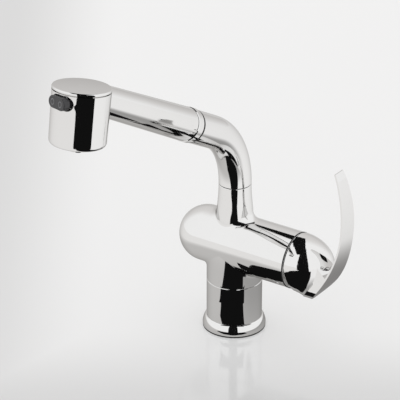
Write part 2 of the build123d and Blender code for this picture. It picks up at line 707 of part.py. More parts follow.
# Swivel spigot, grooved for its rings and for the stop screw
SWIVEL_FOOT = NECK_Z - SWIVEL_DEPTH
SWIVEL_TOP = SPOUT_Z + SWIVEL_LIFT
SWIVEL_EASE = FIT + SWIVEL_LIFT ** 2 / BEND_R
STOP_Z = NECK_Z - SCREW_DROP
STOP_HALF = SCREW_R + SEAM
STOP_TURN = STOP_DEG + degrees(STOP_HALF / (SWIVEL_R - STOP_DEPTH))
STOP_FROM = pi / 2 - radians(STOP_TURN)
STOP_NORMAL = (sin(STOP_FROM), -cos(STOP_FROM), 0)
with BuildPart() as swivel_spigot:
    with BuildSketch(Plane.XY.offset(SWIVEL_FOOT)):
        Circle(SWIVEL_R)
    extrude(amount=SWIVEL_TOP - SWIVEL_FOOT)
    with BuildSketch(Plane.XY.offset(SPOUT_Z)):
        Circle(SPOUT_BORE_R - SWIVEL_EASE)
    extrude(amount=SWIVEL_LIFT)
    with BuildSketch(Plane.XY.offset(SWIVEL_FOOT)):
        Circle(SWIVEL_BORE_R)
    extrude(amount=SWIVEL_TOP, mode=Mode.SUBTRACT)
    with BuildSketch(Plane.XZ):
        with Locations(*[(SWIVEL_R, NECK_Z - drop) for drop in RING_DROPS]):
            Rectangle(2 * (2 * RING_SECTION + FIT), GROOVE_W)
    revolve(axis=Axis.Z, mode=Mode.SUBTRACT)
    with BuildSketch(Plane(origin=(0, 0, 0), x_dir=(cos(STOP_FROM), sin(STOP_FROM), 0), z_dir=STOP_NORMAL)):
        with Locations((SWIVEL_R, STOP_Z)):
            Rectangle(2 * STOP_DEPTH, 2 * STOP_HALF)
    revolve(axis=Axis.Z, revolution_arc=2 * STOP_TURN, mode=Mode.SUBTRACT)
save(swivel_spigot, "swivel_spigot")

# Rings in the spigot's grooves
for ring_name, ring_drop in zip(("spigot_ring_upper", "spigot_ring_lower"), RING_DROPS):
    with BuildPart() as spigot_ring:
        with BuildSketch(Plane.XZ):
            with Locations((SWIVEL_R - RING_SECTION, NECK_Z - ring_drop)):
                Circle(RING_SECTION)
        revolve(axis=Axis.Z)
    save(spigot_ring, ring_name)

# Swivel washer on the neck
with BuildPart() as swivel_washer:
    with BuildSketch(Plane.XY.offset(NECK_Z - WASHER_T)):
        Circle(NECK_BORE_R + WASHER_W - FIT)
        Circle(NECK_BORE_R, mode=Mode.SUBTRACT)
    extrude(amount=WASHER_T)
save(swivel_washer, "swivel_washer")

# Swivel screw at the back of the neck
SCREW_OUT = NECK_R - SEAM
with BuildPart() as swivel_screw:
    with BuildSketch(Plane(origin=(0, SCREW_TIP_R, STOP_Z), x_dir=(-1, 0, 0), z_dir=(0, 1, 0))):
        Circle(SCREW_R)
    extrude(amount=SCREW_OUT - SCREW_TIP_R)
    with BuildSketch(Plane(origin=(0, SCREW_OUT, STOP_Z), x_dir=(-1, 0, 0), z_dir=(0, 1, 0))):
        RegularPolygon(SCREW_R / 2, 6, major_radius=False)
    extrude(amount=-SCREW_R / 2, mode=Mode.SUBTRACT)
save(swivel_screw, "swivel_screw")

# Spout tube
BEND_START = AIM_Z - BEND_T
BEND_END = AIM_START + AIM * BEND_T
SPOUT_END = AIM_START + AIM * DOCK_START
with BuildPart() as spout_tube:
    with BuildLine() as spout_path:
        Line((0, 0, SPOUT_Z), (0, 0, BEND_START))
        TangentArc((0, 0, BEND_START), BEND_END, tangent=(0, 0, 1))
        Line(BEND_END, SPOUT_END)
    with BuildSketch(Plane.XY.offset(SPOUT_Z)):
        Circle(SPOUT_R)
        Circle(SPOUT_BORE_R, mode=Mode.SUBTRACT)
    sweep(path=spout_path.wire())
    chamfer(spout_tube.edges().group_by(Axis.Z)[0].sort_by(SortBy.LENGTH)[-1], SEAM_BEVEL)
    chamfer(spout_tube.edges().group_by(HANDLE_AXIS)[-1].sort_by(SortBy.LENGTH)[-1], SEAM_BEVEL)
save(spout_tube, "spout_tube")

# Dock sleeve: a ring with a locating tongue at the spout's mouth, and a socket inside it
RING_AT = DOCK_START + DOCK_GROOVE
KEY_TURN = radians(KEY_DEG)
KEY_R = DOCK_R - DOCK_EDGE - KEY_H / 2
with BuildPart() as dock_sleeve:
    with BuildSketch(HANDLE):
        with BuildLine():
            Polyline(
                (DOCK_START - DOCK_DEPTH, DOCK_BORE_R), (DOCK_END, DOCK_BORE_R),
                (DOCK_END, DOCK_R - DOCK_EDGE), (DOCK_END - DOCK_EDGE, DOCK_R),
                (RING_AT + DOCK_EDGE, DOCK_R), (RING_AT, DOCK_R - DOCK_EDGE), (RING_AT, DOCK_BODY_R),
                (DOCK_START - DOCK_DEPTH, DOCK_BODY_R), close=True
            )
        make_face()
    revolve(axis=HANDLE_AXIS)
    with BuildSketch(along(DOCK_END)):
        with Locations(Location((KEY_R * cos(KEY_TURN), KEY_R * sin(KEY_TURN), 0), (0, 0, KEY_DEG))):
            Rectangle(KEY_H, KEY_W)
    extrude(amount=KEY_LEN)
save(dock_sleeve, "dock_sleeve")

# Handset shell: handle and drum in one moulding
HANDLE_AT = DOCK_END + DOCK_GAP
NOTCH_R = KEY_R + KEY_H
with BuildPart() as handset_shell:
    with BuildSketch(DRUM):
        with BuildLine():
            Line((0, -DRUM_DROP), (DRUM_FOOT_R - DRUM_FOOT_EDGE, -DRUM_DROP))
            RadiusArc(
                (DRUM_FOOT_R - DRUM_FOOT_EDGE, -DRUM_DROP),
                (DRUM_FOOT_R, DRUM_FOOT_EDGE - DRUM_DROP),
                -DRUM_FOOT_EDGE,
            )
            Polyline(
                (DRUM_FOOT_R, DRUM_FOOT_EDGE - DRUM_DROP),
                (DRUM_TOP_R, SHELL_TOP),
                (0, SHELL_TOP),
                (0, -DRUM_DROP),
            )
        make_face()
    revolve(axis=DRUM_LINE)
    with BuildSketch(HANDLE):
        Polygon(
            (HANDLE_AT, 0), (HANDLE_AT, HANDLE_R - DOCK_EDGE), (HANDLE_AT + DOCK_EDGE, HANDLE_R),
            (HEAD_AT, HANDLE_TIP_R), (HEAD_AT, 0), align=None
        )
    revolve(axis=HANDLE_AXIS)
    with BuildSketch(along(SPIGOT_AT)):
        Circle(DOCK_BORE_R - FIT)
    extrude(amount=HANDLE_AT - SPIGOT_AT + SEAM)
    with BuildSketch(along(HANDLE_AT)):
        with Locations(Location((NOTCH_R * cos(KEY_TURN), NOTCH_R * sin(KEY_TURN), 0), (0, 0, KEY_DEG))):
            Rectangle(3 * KEY_H + 2 * SEAM, KEY_W + 2 * SEAM)
    extrude(amount=KEY_LEN + SEAM - DOCK_GAP, mode=Mode.SUBTRACT)
    with BuildSketch(level(SHELL_TOP)):
        Circle(DRUM_TOP_R + SEAM)
    extrude(amount=DRUM_TOP_R, mode=Mode.SUBTRACT)
    with BuildSketch(level(-DRUM_DROP)):
        Circle(DRUM_BORE_R)
    extrude(amount=DRUM_DROP + DRUM_TOP, mode=Mode.SUBTRACT)
    with BuildSketch(along(SPIGOT_AT)):
        Circle(HANDLE_BORE_R)
    extrude(amount=HEAD_AT - SPIGOT_AT, mode=Mode.SUBTRACT)
    with BuildSketch(facing(0, BUTTON_AT)):
        SlotOverall(BUTTON_W + 2 * BUTTON_GAP, BUTTON_H + 2 * BUTTON_GAP)
    extrude(amount=DRUM_TOP_R + BUTTON_PROUD, mode=Mode.SUBTRACT)
save(handset_shell, "handset_shell")

# Drum cap
CAP_SKIRT_R = DRUM_BORE_R - FIT
CAP_PEAK = DRUM_TOP + CAP_CROWN
CAP_ARC_R = ((DRUM_TOP_R - CAP_EDGE) ** 2 + CAP_CROWN ** 2) / (2 * CAP_CROWN)
with BuildPart() as drum_cap:
    with BuildSketch(DRUM):
        with BuildLine():
            Polyline(
                (0, CAP_PEAK), (0, CAP_FOOT), (CAP_SKIRT_R - CAP_SKIRT_WALL, CAP_FOOT),
                (CAP_SKIRT_R - CAP_SKIRT_WALL, CAP_FOOT - CAP_SKIRT), (CAP_SKIRT_R, CAP_FOOT - CAP_SKIRT),
                (CAP_SKIRT_R, CAP_FOOT), (DRUM_TOP_R, CAP_FOOT), (DRUM_TOP_R, DRUM_TOP - CAP_EDGE)
            )
            RadiusArc((DRUM_TOP_R, DRUM_TOP - CAP_EDGE), (DRUM_TOP_R - CAP_EDGE, DRUM_TOP), -CAP_EDGE)
            RadiusArc((DRUM_TOP_R - CAP_EDGE, DRUM_TOP), (0, CAP_PEAK), -CAP_ARC_R)
        make_face()
    revolve(axis=DRUM_LINE)
save(drum_cap, "drum_cap")

# Hose nipple in the handle's end
with BuildPart() as hose_nipple:
    with BuildSketch(along(NIPPLE_AT)):
        Circle(NIPPLE_R)
    extrude(amount=NIPPLE_LEN)
    with BuildSketch(along(NIPPLE_AT)):
        Circle(HOSE_THREAD_R)
    extrude(amount=HOSE_THREAD_LEN, mode=Mode.SUBTRACT)
    with BuildSketch(along(NIPPLE_AT)):
        Circle(WATER_R - WATER_WALL)
    extrude(amount=NIPPLE_LEN, mode=Mode.SUBTRACT)
    with BuildSketch(along(NIPPLE_AT + NIPPLE_LEN)):
        Circle(WATER_R + FIT)
    extrude(amount=HOSE_THREAD_LEN - NIPPLE_LEN + WATER_WALL, mode=Mode.SUBTRACT)
save(hose_nipple, "hose_nipple")

# Waterway through the handle
WATER_AT = NIPPLE_AT + HOSE_THREAD_LEN + WATER_WALL + FIT
with BuildPart() as waterway_tube:
    with BuildSketch(along(WATER_AT)):
        Circle(WATER_R)
        Circle(WATER_R - WATER_WALL, mode=Mode.SUBTRACT)
    extrude(amount=HEAD_AT - WATER_END - WATER_AT)
save(waterway_tube, "waterway_tube")

# Check valve inside the waterway
with BuildPart() as check_valve:
    with BuildSketch(along(WATER_AT + CHECK_SET)):
        Circle(WATER_R - WATER_WALL - FIT)
        Circle(CHECK_BORE_R, mode=Mode.SUBTRACT)
    extrude(amount=CHECK_LEN)
save(check_valve, "check_valve")

# Diverter block inside the drum, with a chamber for the ball and a port on each side of it
BALL_PATH = DRUM_AT + DRUM_AXIS * BUTTON_AT + BUTTON_FRONT * BALL_AT
with BuildPart() as diverter_block:
    with BuildSketch(level(BLOCK_FOOT)):
        Circle(BLOCK_R)
        with Locations((0, -BLOCK_FACE - BLOCK_R)):
            Rectangle(2 * BLOCK_R, 2 * BLOCK_R, mode=Mode.SUBTRACT)
    extrude(amount=BLOCK_TOP - BLOCK_FOOT)
    with BuildSketch(along(HEAD_AT)):
        Circle(WATER_R + FIT)
    extrude(amount=-HEAD_AT / 2, mode=Mode.SUBTRACT)
    with BuildSketch(level(BLOCK_FOOT)):
        Circle(OUTLET_R)
    extrude(amount=BUTTON_AT - BLOCK_FOOT, mode=Mode.SUBTRACT)
    with BuildSketch(facing(BALL_AT - 2 * BALL_R, BUTTON_AT)):
        Rectangle(2 * (BALL_R + BALL_SWING + SEAM), 2 * (BALL_R + SEAM))
    extrude(amount=BLOCK_R, mode=Mode.SUBTRACT)
    with BuildSketch(Plane(origin=BALL_PATH, z_dir=BUTTON_ACROSS)):
        Circle(SEAT_R)
    extrude(amount=BLOCK_R, both=True, mode=Mode.SUBTRACT)
    with BuildSketch(facing(BLOCK_FACE - LUG_T, BUTTON_AT)):
        with Locations((0, LUG_AT), (0, -LUG_AT)):
            Rectangle(LUG_W, LUG_T)
    extrude(amount=ROCKER_AT + LUG_FRONT - BLOCK_FACE + LUG_T)
    with BuildSketch(Plane(origin=ROCKER_CENTRE, x_dir=BUTTON_ACROSS, z_dir=DRUM_AXIS)):
        Circle(ROCKER_PIN_R + FIT)
    extrude(amount=ROCKER_PIN_LEN, both=True, mode=Mode.SUBTRACT)
save(diverter_block, "diverter_block")

# Rocker button, leaning to one side on its pin
ROCK = radians(ROCK_DEG)
ROCK_OUT = BUTTON_FRONT * cos(ROCK) - BUTTON_ACROSS * sin(ROCK)
ROCK_X = BUTTON_ACROSS * cos(ROCK) + BUTTON_FRONT * sin(ROCK)
TAIL_END = BALL_R + FIT - BALL_REACH


def rocker(depth):
    """Plane across the leaning button, at a depth from its pin."""
    return Plane(origin=ROCKER_CENTRE + ROCK_OUT * depth, x_dir=ROCK_X, z_dir=ROCK_OUT)


with BuildPart() as rocker_button:
    with BuildSketch(rocker(HEAD_SET)):
        SlotOverall(BUTTON_W, BUTTON_H)
    extrude(amount=BUTTON_FACE - HEAD_SET)
    fillet(rocker_button.faces().sort_by(Axis(ROCKER_CENTRE, ROCK_OUT))[-1].edges(), BUTTON_EDGE)
    with BuildSketch(rocker(-BUTTON_BACK)):
        Rectangle(WAIST_W, WAIST_H)
    extrude(amount=BUTTON_BACK + HEAD_SET)
    with BuildSketch(rocker(TAIL_END)):
        Rectangle(TAIL_W, TAIL_H)
    extrude(amount=-TAIL_END)
    with BuildSketch(rocker(-BALL_REACH)):
        Rectangle(PEG, PEG)
    extrude(amount=BALL_REACH)
    with BuildSketch(Plane(origin=ROCKER_CENTRE, x_dir=ROCK_X, z_dir=DRUM_AXIS)):
        Circle(ROCKER_PIN_R + FIT)
    extrude(amount=BUTTON_W, both=True, mode=Mode.SUBTRACT)
save(rocker_button, "rocker_button")

# Diverter ball on the tail's peg
with BuildPart() as diverter_ball:
    with Locations(ROCKER_CENTRE - ROCK_OUT * BALL_REACH):
        Sphere(BALL_R)
    with BuildSketch(rocker(-BALL_REACH - FIT)):
        Rectangle(PEG + 2 * FIT, PEG + 2 * FIT)
    extrude(amount=BALL_REACH, mode=Mode.SUBTRACT)
save(diverter_ball, "diverter_ball")

# Rocker pin
with BuildPart() as rocker_pin:
    with BuildSketch(Plane(origin=ROCKER_CENTRE, x_dir=BUTTON_ACROSS, z_dir=DRUM_AXIS)):
        Circle(ROCKER_PIN_R)
    extrude(amount=ROCKER_PIN_LEN / 2, both=True)
save(rocker_pin, "rocker_pin")

# Spray plate at the drum's foot
SPRAY_FOOT = SPRAY_INSET - DRUM_DROP
with BuildPart() as spray_plate:
    with BuildSketch(level(SPRAY_FOOT)):
        Circle(DRUM_BORE_R - FIT)
        Circle(NOZZLE_R + FIT, mode=Mode.SUBTRACT)
        with PolarLocations(SPRAY_PITCH_R, SPRAY_HOLES):
            Circle(SPRAY_HOLE_R, mode=Mode.SUBTRACT)
    extrude(amount=SPRAY_T)
save(spray_plate, "spray_plate")

# Outlet nozzle, flanged above the spray plate
NOZZLE_FOOT = -DRUM_DROP - NOZZLE_DROP
NOZZLE_TOP = SPRAY_FOOT + SPRAY_T + FIT + NOZZLE_FLANGE_T
with BuildPart() as outlet_nozzle:
    with BuildSketch(level(NOZZLE_FOOT)):
        Circle(NOZZLE_R)
    extrude(amount=NOZZLE_TOP - NOZZLE_FOOT)
    with BuildSketch(level(NOZZLE_TOP)):
        Circle(NOZZLE_FLANGE_R)
    extrude(amount=-NOZZLE_FLANGE_T)
    with BuildSketch(level(NOZZLE_FOOT)):
        Circle(NOZZLE_BORE_R)
    extrude(amount=NOZZLE_TOP - NOZZLE_FOOT, mode=Mode.SUBTRACT)
save(outlet_nozzle, "outlet_nozzle")

# Outlet screen in the nozzle's mouth
with BuildPart() as outlet_screen:
    with BuildSketch(level(NOZZLE_FOOT + SCREEN_T)):
        Circle(NOZZLE_BORE_R - FIT)
        with GridLocations(SCREEN_PITCH, SCREEN_PITCH, SCREEN_ROWS, SCREEN_ROWS):
            Circle(SCREEN_HOLE_R, mode=Mode.SUBTRACT)
    extrude(amount=SCREEN_T)
save(outlet_screen, "outlet_screen")
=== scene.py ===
"""Finishes, small details and studio for a chrome kitchen tap, laid out as an add-on."""
import json
import math

import bpy
from mathutils import Matrix, Vector


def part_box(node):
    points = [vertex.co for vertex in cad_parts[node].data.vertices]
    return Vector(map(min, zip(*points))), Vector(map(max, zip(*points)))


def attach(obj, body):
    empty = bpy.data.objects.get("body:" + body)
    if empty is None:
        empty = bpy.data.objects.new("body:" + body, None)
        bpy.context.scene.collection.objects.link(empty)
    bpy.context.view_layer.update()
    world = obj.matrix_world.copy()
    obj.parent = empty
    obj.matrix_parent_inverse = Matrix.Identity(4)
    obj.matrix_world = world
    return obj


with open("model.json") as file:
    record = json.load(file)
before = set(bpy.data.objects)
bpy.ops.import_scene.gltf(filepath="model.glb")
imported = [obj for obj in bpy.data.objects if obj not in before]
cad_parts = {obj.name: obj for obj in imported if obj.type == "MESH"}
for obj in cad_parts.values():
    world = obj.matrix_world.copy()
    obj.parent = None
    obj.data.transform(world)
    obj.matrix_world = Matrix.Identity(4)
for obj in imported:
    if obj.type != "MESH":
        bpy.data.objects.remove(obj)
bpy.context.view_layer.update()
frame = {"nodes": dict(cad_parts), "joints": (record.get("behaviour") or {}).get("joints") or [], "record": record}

bl_info = {
    "name": "Kitchen tap",
    "version": (1, 0, 0),
    "blender": (4, 5, 0),
    "location": "3D View > Sidebar > Tap",
    "description": "Finishes a kitchen tap and sets it in a studio",
    "category": "Object",
}

MM = 0.001
SENSOR_MM = 36.0
JOINTS = {joint["name"]: joint for joint in frame["joints"]}
SLOT_OF = {part["node"]: part["material_slot"] for part in frame["record"]["subparts"]}
DRUM_AXIS = Vector(JOINTS["selector_rock"]["axis"]).normalized()
BUTTON_PIN = Vector(JOINTS["selector_rock"]["pos_m"])
AIM = Vector(JOINTS["handset_pull"]["axis"]).normalized()
BUTTON_TURN = math.radians(-4.2)
ACROSS = Matrix.Rotation(BUTTON_TURN, 3, DRUM_AXIS) @ Vector((1.0, 0.0, 0.0))
DRUM_FRONT = ACROSS.cross(DRUM_AXIS).normalized()
# Painted shade on the floor: the ways it darkens, to the left and in front, and the reaches over which the shade
# fades in.
FLOOR_SHADE_FADES = (((-1.0, 0.0, 0.0), 0.11, 0.24), ((0.0, -1.0, 0.0), 0.0, 0.15))
MIRROR_FADE = (0.13, 0.25)
MIRROR_SIDE = (-0.06, 0.1)
BRIGHT_SIDE = Vector((0.87, 0.5, 0.0))
DIM_WAY = Vector((-0.554, 0.791, 0.259))
DIM_EDGE = (0.5, 0.9)
TALL_CARDS = {
    "side_card": ((0.14, -0.585, -0.3), (0.23, -0.22, -0.3), (0.14, -0.585, 1.1), (0.23, -0.22, 1.1)),
    "top_card": ((-0.665, 0.76, 1.0), (-0.25, 0.8, 1.0), (-0.02, -0.75, 1.0), (0.42, -0.55, 1.0)),
    "column_card": (
        (0.0, -0.0235, 0.03), (0.0195, -0.0137, 0.03), (-0.0105, -0.05, 0.03), (0.05, -0.0215, 0.03)),
}
FLOOR_NEAR = 0.5 * MM
LOW_CARD_Z = -1.0 * MM
LOW_CARDS = {
    "near_left_card": ((-0.0145, -0.054), (0.004, -0.036), (-0.027, -0.1), (0.05, -0.085)),
    "near_right_card": ((0.004, -0.036), (0.036, -0.016), (0.05, -0.085), (0.12, -0.055)),
    "mid_card": ((-0.027, -0.1), (0.12, -0.055), (0.03, -0.28), (0.2, -0.15)),
    "far_card": ((0.03, -0.28), (0.2, -0.15), (0.16, -0.5), (0.36, -0.33)),
}


class TapFinish(bpy.types.PropertyGroup):
    """Colours and polish of the tap's surfaces."""
    chrome_colour: bpy.props.FloatVectorProperty(
        name="Chrome", description="Reflected colour of the chrome plate", subtype="COLOR", size=3,
        min=0.0, max=1.0, default=(0.86, 0.86, 0.855))
    chrome_haze: bpy.props.FloatVectorProperty(
        name="Chrome haze", description="Colour of the chrome where the polish is a little hazy",
        subtype="COLOR",
        size=3, min=0.0, max=1.0, default=(0.83, 0.825, 0.82))
    chrome_roughness: bpy.props.FloatProperty(
        name="Chrome roughness", description="Roughness of the clean chrome", subtype="FACTOR",
        min=0.0, max=1.0, default=0.03)
    chrome_edge: bpy.props.FloatVectorProperty(
        name="Chrome edge", description="Reflected colour of the chrome seen along its surface",
        subtype="COLOR",
        size=3, min=0.0, max=1.0, default=(0.66, 0.655, 0.65))
    button_colour: bpy.props.FloatVectorProperty(
        name="Button", description="Dark plastic of the button and the spray plate",
        subtype="COLOR", size=3,
        min=0.0, max=1.0, default=(0.035, 0.035, 0.038))
    button_worn: bpy.props.FloatVectorProperty(
        name="Button bloom", description="Paler patches of the dark plastic", subtype="COLOR", size=3,
        min=0.0, max=1.0, default=(0.055, 0.054, 0.056))
    mark_colour: bpy.props.FloatVectorProperty(
        name="Marks", description="Printed rings on the button", subtype="COLOR", size=3,
        min=0.0, max=1.0, default=(0.2, 0.2, 0.21))


class TapButton(bpy.types.PropertyGroup):
    """Printed rings on the rocker button."""
    lean: bpy.props.FloatProperty(
        name="Lean", description="Lean of the button at rest", subtype="ANGLE", default=math.radians(11.0))
    face: bpy.props.FloatProperty(
        name="Face", description="Distance of the button's face from its pin",
        subtype="DISTANCE", unit="LENGTH",
        default=7.65 * MM)
    spread: bpy.props.FloatProperty(
        name="Spread", description="Distance of each ring from the button's centre", subtype="DISTANCE",
        unit="LENGTH", default=4.4 * MM)
    radius: bpy.props.FloatProperty(
        name="Ring radius", description="Radius of a printed ring", subtype="DISTANCE", unit="LENGTH",
        default=2.1 * MM)
    line: bpy.props.FloatProperty(
        name="Line", description="Half width of a printed line", subtype="DISTANCE", unit="LENGTH",
        default=0.28 * MM)
    height: bpy.props.FloatProperty(
        name="Height", description="How far a print stands above the face",
        subtype="DISTANCE", unit="LENGTH",
        default=0.05 * MM)


class TapSpray(bpy.types.PropertyGroup):
    """Soft nubs on the spray plate."""
    count: bpy.props.IntProperty(name="Nubs", description="Number of nubs", min=3, default=20)
    pitch: bpy.props.FloatProperty(
        name="Pitch radius", description="Radius of the circle of nubs", subtype="DISTANCE", unit="LENGTH",
        default=14.0 * MM)
    radius: bpy.props.FloatProperty(
        name="Nub radius", description="Outer radius of a nub", subtype="DISTANCE", unit="LENGTH",
        default=1.25 * MM)
    bore: bpy.props.FloatProperty(
        name="Nub bore", description="Radius of a nub's bore", subtype="DISTANCE", unit="LENGTH",
        default=0.6 * MM)
    drop: bpy.props.FloatProperty(
        name="Drop", description="How far a nub stands below the plate", subtype="DISTANCE", unit="LENGTH",
        default=1.1 * MM)


class TapSeamShades(bpy.types.PropertyGroup):
    """Painted shade: black rings that stand in for the shade in the seams, showing as dark lines."""
    aim_height: bpy.props.FloatProperty(
        name="Aim height", description="Height where the handset's axis meets the column's",
        subtype="DISTANCE",
        unit="LENGTH", default=169.0 * MM)
    lip_at: bpy.props.FloatProperty(
        name="Lip place", description="Place along the handset's axis of the lip behind the ring",
        subtype="DISTANCE", unit="LENGTH", default=72.45 * MM)
    lip_radius: bpy.props.FloatProperty(
        name="Lip radius", description="Outer radius of the lip behind the ring", subtype="DISTANCE",
        unit="LENGTH", default=13.6 * MM)
    lip_width: bpy.props.FloatProperty(
        name="Lip width", description="Width of the lip behind the ring", subtype="DISTANCE", unit="LENGTH",
        default=1.5 * MM)
    mouth_at: bpy.props.FloatProperty(
        name="Mouth place", description="Place along the handset's axis of the seal in front of the ring",
        subtype="DISTANCE", unit="LENGTH", default=81.75 * MM)
    mouth_radius: bpy.props.FloatProperty(
        name="Mouth radius", description="Outer radius of the seal in front of the ring",
        subtype="DISTANCE",
        unit="LENGTH", default=13.3 * MM)
    mouth_width: bpy.props.FloatProperty(
        name="Mouth width", description="Width of the seal in front of the ring",
        subtype="DISTANCE", unit="LENGTH",
        default=0.54 * MM)
    swivel_at: bpy.props.FloatProperty(
        name="Swivel place", description="Height of the seal at the swivel",
        subtype="DISTANCE", unit="LENGTH", default=129.8 * MM)
    swivel_radius: bpy.props.FloatProperty(
        name="Swivel radius", description="Outer radius of the seal at the swivel", subtype="DISTANCE",
        unit="LENGTH", default=13.25 * MM)
    swivel_width: bpy.props.FloatProperty(
        name="Swivel width", description="Width of the seal at the swivel",
        subtype="DISTANCE", unit="LENGTH",
        default=0.34 * MM)
    hub_at: bpy.props.FloatProperty(
        name="Hub place", description="Place along the lever's axis of the seal at the hub",
        subtype="DISTANCE", unit="LENGTH", default=61.05 * MM)
    hub_radius: bpy.props.FloatProperty(
        name="Hub radius", description="Outer radius of the seal at the lever's hub", subtype="DISTANCE",
        unit="LENGTH", default=23.6 * MM)
    hub_width: bpy.props.FloatProperty(
        name="Hub width", description="Width of the seal at the lever's hub",
        subtype="DISTANCE", unit="LENGTH",
        default=1.0 * MM)
    thick: bpy.props.FloatProperty(
        name="Thickness", description="Thickness of a seal towards its axis",
        subtype="DISTANCE", unit="LENGTH",
        default=0.5 * MM)
    edge: bpy.props.FloatProperty(
        name="Edge", description="Rounding of a seal's edges", subtype="DISTANCE", unit="LENGTH",
        default=0.06 * MM)


class TapStage(bpy.types.PropertyGroup):
    """Camera, floor and studio light."""
    azimuth: bpy.props.FloatProperty(
        name="Azimuth", description="Camera's angle round the tap",
        subtype="ANGLE", default=math.radians(34.74))
    elevation: bpy.props.FloatProperty(
        name="Elevation", description="Camera's angle above level",
        subtype="ANGLE", default=math.radians(25.97))
    distance: bpy.props.FloatProperty(
        name="Distance", description="Camera's distance", subtype="DISTANCE", unit="LENGTH", default=2.0)
    aim: bpy.props.FloatVectorProperty(
        name="Aim", description="Point at the middle of the picture",
        subtype="TRANSLATION", unit="LENGTH", size=3,
        default=(-0.02338, -0.01621, 0.114))
    focal_pixels: bpy.props.FloatProperty(
        name="Focal length", description="Focal length in picture widths", min=0.1, default=6.15)
    floor_colour: bpy.props.FloatVectorProperty(
        name="Floor", description="Colour of the floor", subtype="COLOR", size=3, min=0.0, max=1.0,
        default=(0.53, 0.53, 0.53))
    # Painted shade: the darker floor colour to the left and in front.
    floor_edge_shade: bpy.props.FloatVectorProperty(
        name="Floor edge", description="Colour of the floor to the left and in front",
        subtype="COLOR", size=3,
        min=0.0, max=1.0, default=(0.41, 0.41, 0.41))
    # Painted light: the floor glows though it is no lamp, which lifts it and weakens the shadows on it.
    floor_glow: bpy.props.FloatProperty(
        name="Floor glow", description="Light that the lit floor gives off itself", min=0.0, default=0.64)
    near_left: bpy.props.FloatVectorProperty(
        name="Mirrored near left", description="Mirrored floor close by on the left",
        subtype="COLOR", size=3,
        min=0.0, default=(0.58, 0.57, 0.56))
    near_right: bpy.props.FloatVectorProperty(
        name="Mirrored near right", description="Mirrored floor close by on the right",
        subtype="COLOR", size=3,
        min=0.0, default=(0.37, 0.365, 0.36))
    far_left: bpy.props.FloatVectorProperty(
        name="Mirrored far left", description="Mirrored floor further off on the left",
        subtype="COLOR", size=3,
        min=0.0, default=(0.87, 0.86, 0.85))
    far_right: bpy.props.FloatVectorProperty(
        name="Mirrored far right", description="Mirrored floor further off on the right",
        subtype="COLOR", size=3,
        min=0.0, default=(0.95, 0.945, 0.94))
    sky_high: bpy.props.FloatVectorProperty(
        name="Light", description="Colour of the studio light", subtype="COLOR", size=3,
        min=0.0, default=(0.98, 0.98, 0.98))
    sky_low: bpy.props.FloatVectorProperty(
        name="Dim light", description="Colour of the dimmer light behind the tap", subtype="COLOR", size=3,
        min=0.0, default=(0.77, 0.755, 0.745))
    card_colour: bpy.props.FloatVectorProperty(
        name="Dark cards", description="Colour of the dark cards that the chrome mirrors",
        subtype="COLOR", size=3,
        min=0.0, max=1.0, default=(0.006, 0.006, 0.006))


def new_group(name, inputs, outputs):
    """Shader node group with named float inputs, and outputs of the types given."""
    group = bpy.data.node_groups.new(name, "ShaderNodeTree")
    for label, value in inputs:
        socket = group.interface.new_socket(label, in_out="INPUT", socket_type="NodeSocketFloat")
        socket.default_value = value
    for label, kind in outputs:
        group.interface.new_socket(label, in_out="OUTPUT", socket_type=kind)
    return group, group.nodes.new("NodeGroupInput"), group.nodes.new("NodeGroupOutput")


def cloud_group():
    """Soft cloudy mask and a fine grain over a surface, from the piece's own coordinates."""
    group, given, out = new_group(
        "cloud_and_grain", [("Cloud Scale", 40.0), ("Grain Scale", 2500.0)],
        [("Cloud", "NodeSocketFloat"), ("Grain", "NodeSocketFloat")])
    place = group.nodes.new("ShaderNodeTexCoord")
    cloud = group.nodes.new("ShaderNodeTexNoise")
    cloud.inputs["Detail"].default_value = 4.0
    grain = group.nodes.new("ShaderNodeTexNoise")
    grain.inputs["Detail"].default_value = 2.0
    for noise, label in ((cloud, "Cloud Scale"), (grain, "Grain Scale")):
        group.links.new(place.outputs["Object"], noise.inputs["Vector"])
        group.links.new(given.outputs[label], noise.inputs["Scale"])
    group.links.new(cloud.outputs["Fac"], out.inputs["Cloud"])
    group.links.new(grain.outputs["Fac"], out.inputs["Grain"])
    return group


def surface(name, low, high, rough, metallic, cloud_scale=40.0, grain_scale=2500.0, bump=0.0):
    """Material whose colour and roughness drift between two values, with an optional grain."""
    material = bpy.data.materials.new(name)
    material.use_nodes = True
    nodes = material.node_tree.nodes
    links = material.node_tree.links
    shader = nodes["Principled BSDF"]
    shader.inputs["Metallic"].default_value = metallic
    cloud = nodes.new("ShaderNodeGroup")
    cloud.node_tree = bpy.data.node_groups.get("cloud_and_grain") or cloud_group()
    cloud.inputs["Cloud Scale"].default_value = cloud_scale
    cloud.inputs["Grain Scale"].default_value = grain_scale
    tint = nodes.new("ShaderNodeMix")
    tint.data_type = "RGBA"
    tint.inputs["A"].default_value = (*low, 1.0)
    tint.inputs["B"].default_value = (*high, 1.0)
    links.new(cloud.outputs["Cloud"], tint.inputs["Factor"])
    links.new(tint.outputs["Result"], shader.inputs["Base Color"])
    gloss = nodes.new("ShaderNodeMapRange")
    gloss.inputs["To Min"].default_value = rough[0]
    gloss.inputs["To Max"].default_value = rough[1]
    links.new(cloud.outputs["Cloud"], gloss.inputs["Value"])
    links.new(gloss.outputs["Result"], shader.inputs["Roughness"])
    if bump:
        relief = nodes.new("ShaderNodeBump")
        relief.inputs["Strength"].default_value = bump
        relief.inputs["Distance"].default_value = 0.1 * MM
        links.new(cloud.outputs["Grain"], relief.inputs["Height"])
        links.new(relief.outputs["Normal"], shader.inputs["Normal"])
    return material


